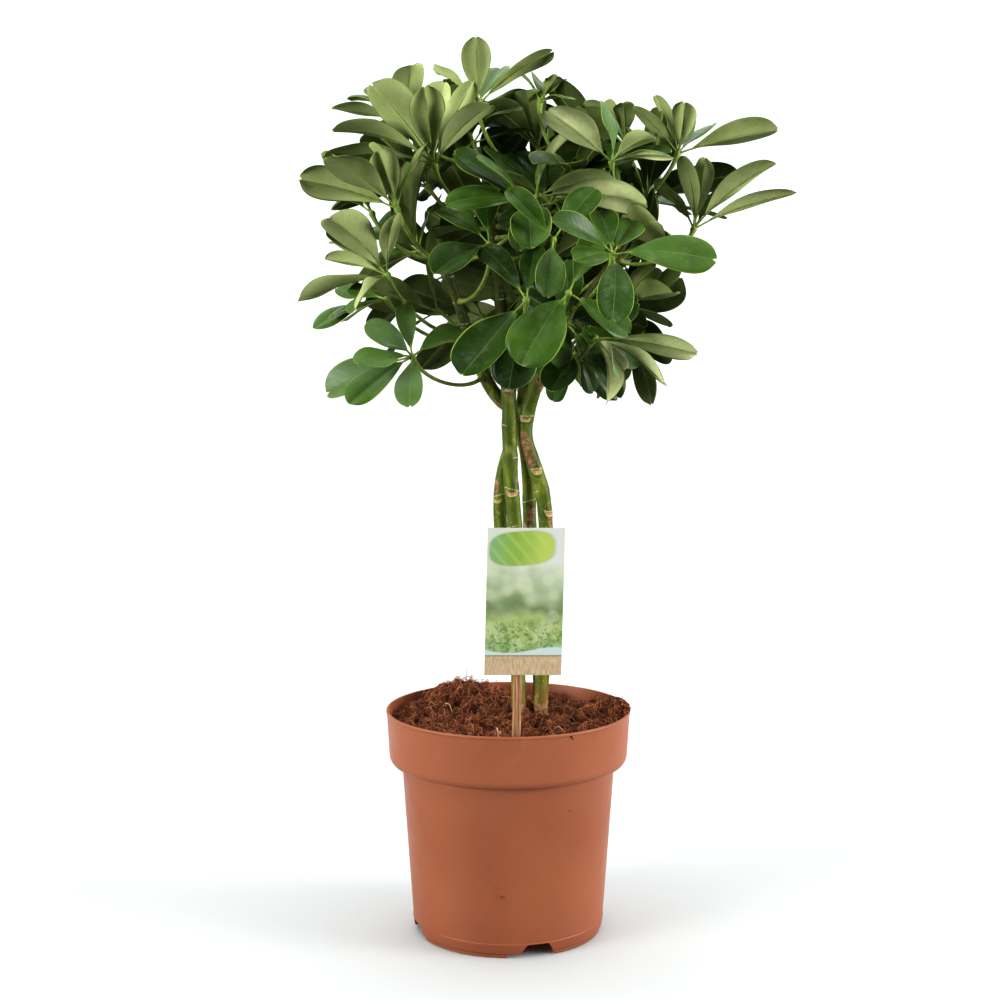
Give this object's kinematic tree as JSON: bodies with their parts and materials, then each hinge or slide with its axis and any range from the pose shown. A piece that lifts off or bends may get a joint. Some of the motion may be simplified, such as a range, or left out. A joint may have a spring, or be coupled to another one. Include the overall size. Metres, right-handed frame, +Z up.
{
  "type": "potted umbrella plant",
  "caption": "Umbrella plant with a plaited trunk and a round crown of palmate leaves, standing in a nursery pot of peat with a care card on a stick.",
  "frame": {"origin": "centre of the flat support boss under the pot, on the ground", "axes": "+Z up along the trunk; the front, with the care card, faces -Y; +X is to the right seen from the front"},
  "size_m": [0.3636, 0.3192, 0.6847],
  "materials": {
    "pot_plastic": "satin terracotta-coloured moulded plastic",
    "peat": "loose fibrous peat and coir, dull",
    "bark": "green bark with tan leaf scars and pale pores",
    "leaf": "waxy dark green above, matt pale green beneath",
    "card_print": "printed card with a satin coat",
    "stick_wood": "raw grooved wood"
  },
  "bodies": {
    "root": {"pot": "pot_plastic", "soil": "peat", "stem_1": "bark", "stem_2": "bark", "stem_3": "bark", "stem_4": "bark", "label_card": "card_print", "label_stick": "stick_wood", "frond_01": "leaf", "frond_02": "leaf", "frond_03": "leaf", "frond_04": "leaf", "frond_05": "leaf", "frond_06": "leaf", "frond_07": "leaf", "frond_08": "leaf", "frond_09": "leaf", "frond_10": "leaf", "frond_11": "leaf", "frond_12": "leaf", "frond_13": "leaf", "frond_14": "leaf", "frond_15": "leaf", "frond_16": "leaf", "frond_17": "leaf", "frond_18": "leaf", "frond_19": "leaf", "frond_20": "leaf", "frond_21": "leaf", "frond_22": "leaf", "frond_23": "leaf", "frond_24": "leaf", "frond_25": "leaf", "frond_26": "leaf", "frond_27": "leaf", "frond_28": "leaf", "frond_29": "leaf", "frond_30": "leaf", "frond_31": "leaf", "frond_32": "leaf", "frond_33": "leaf", "frond_34": "leaf", "frond_35": "leaf", "frond_36": "leaf", "frond_37": "leaf", "frond_38": "leaf", "frond_39": "leaf", "frond_40": "leaf", "frond_41": "leaf", "frond_42": "leaf", "frond_43": "leaf", "frond_44": "leaf", "frond_45": "leaf", "frond_46": "leaf", "frond_47": "leaf", "frond_48": "leaf", "frond_49": "leaf", "frond_50": "leaf", "frond_51": "leaf", "frond_52": "leaf"}
  },
  "joints": []
}
